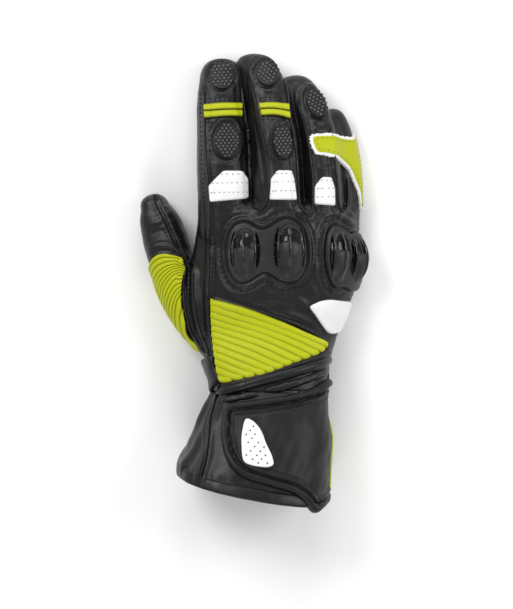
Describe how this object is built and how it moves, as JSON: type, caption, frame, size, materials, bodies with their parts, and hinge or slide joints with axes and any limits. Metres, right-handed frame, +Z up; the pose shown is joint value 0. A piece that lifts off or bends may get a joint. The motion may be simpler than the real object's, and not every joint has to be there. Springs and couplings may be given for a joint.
{
  "type": "racing glove",
  "caption": "Right-hand long-cuff leather racing glove with moulded knuckle guards, ribbed stretch panels, dotted grip pads and a wrapped cuff flap.",
  "frame": {"origin": "on the surface that the glove lies on, palm down, under the middle of its outer box", "axes": "+Y from the cuff to the fingertips, +X towards the little finger, +Z up through the back of the hand"},
  "size_m": [0.1442, 0.2848, 0.0747],
  "materials": {
    "leather": "soft full-grain black leather, satin",
    "smooth_leather": "smooth flat black leather, satin",
    "lime_leather": "smooth lime-yellow leather, satin",
    "white_leather": "white leather, perforated on the finger and cuff panels",
    "white_fleece": "frayed white edge cloth, matte",
    "grip_rubber": "black rubber with raised glossy dots",
    "guard_shell": "satin dark grey moulded shell with glossy black vents",
    "webbing": "black woven strap, matte"
  },
  "bodies": {
    "root": {"hand_back": "leather", "hand_palm": "leather", "hand_heel": "leather", "index_finger": "leather", "middle_finger": "leather", "ring_finger": "leather", "little_finger": "leather", "thumb": "leather", "gauntlet": "leather", "hem_binding": "leather", "cuff_flap": "smooth_leather", "cuff_flap_edge": "leather", "cuff_vent_patch": "white_leather", "cuff_side_panel": "lime_leather", "wrist_strap": "webbing", "strap_keeper": "leather", "knuckle_guard_index_middle": "guard_shell", "knuckle_guard_ring_little": "guard_shell", "index_root_panel": "white_leather", "middle_root_panel": "white_leather", "ring_root_panel": "white_leather", "index_tip_pad": "grip_rubber", "index_joint_pad": "grip_rubber", "middle_tip_pad": "grip_rubber", "middle_joint_pad": "grip_rubber", "ring_tip_pad": "grip_rubber", "index_stretch_band": "lime_leather", "middle_stretch_band": "lime_leather", "back_stretch_panel": "lime_leather", "thumb_stretch_panel": "lime_leather", "side_patch": "white_leather", "bridge_panel": "lime_leather", "bridge_border": "white_fleece", "seam_index_middle": "leather", "seam_middle_ring": "leather"}
  },
  "joints": []
}
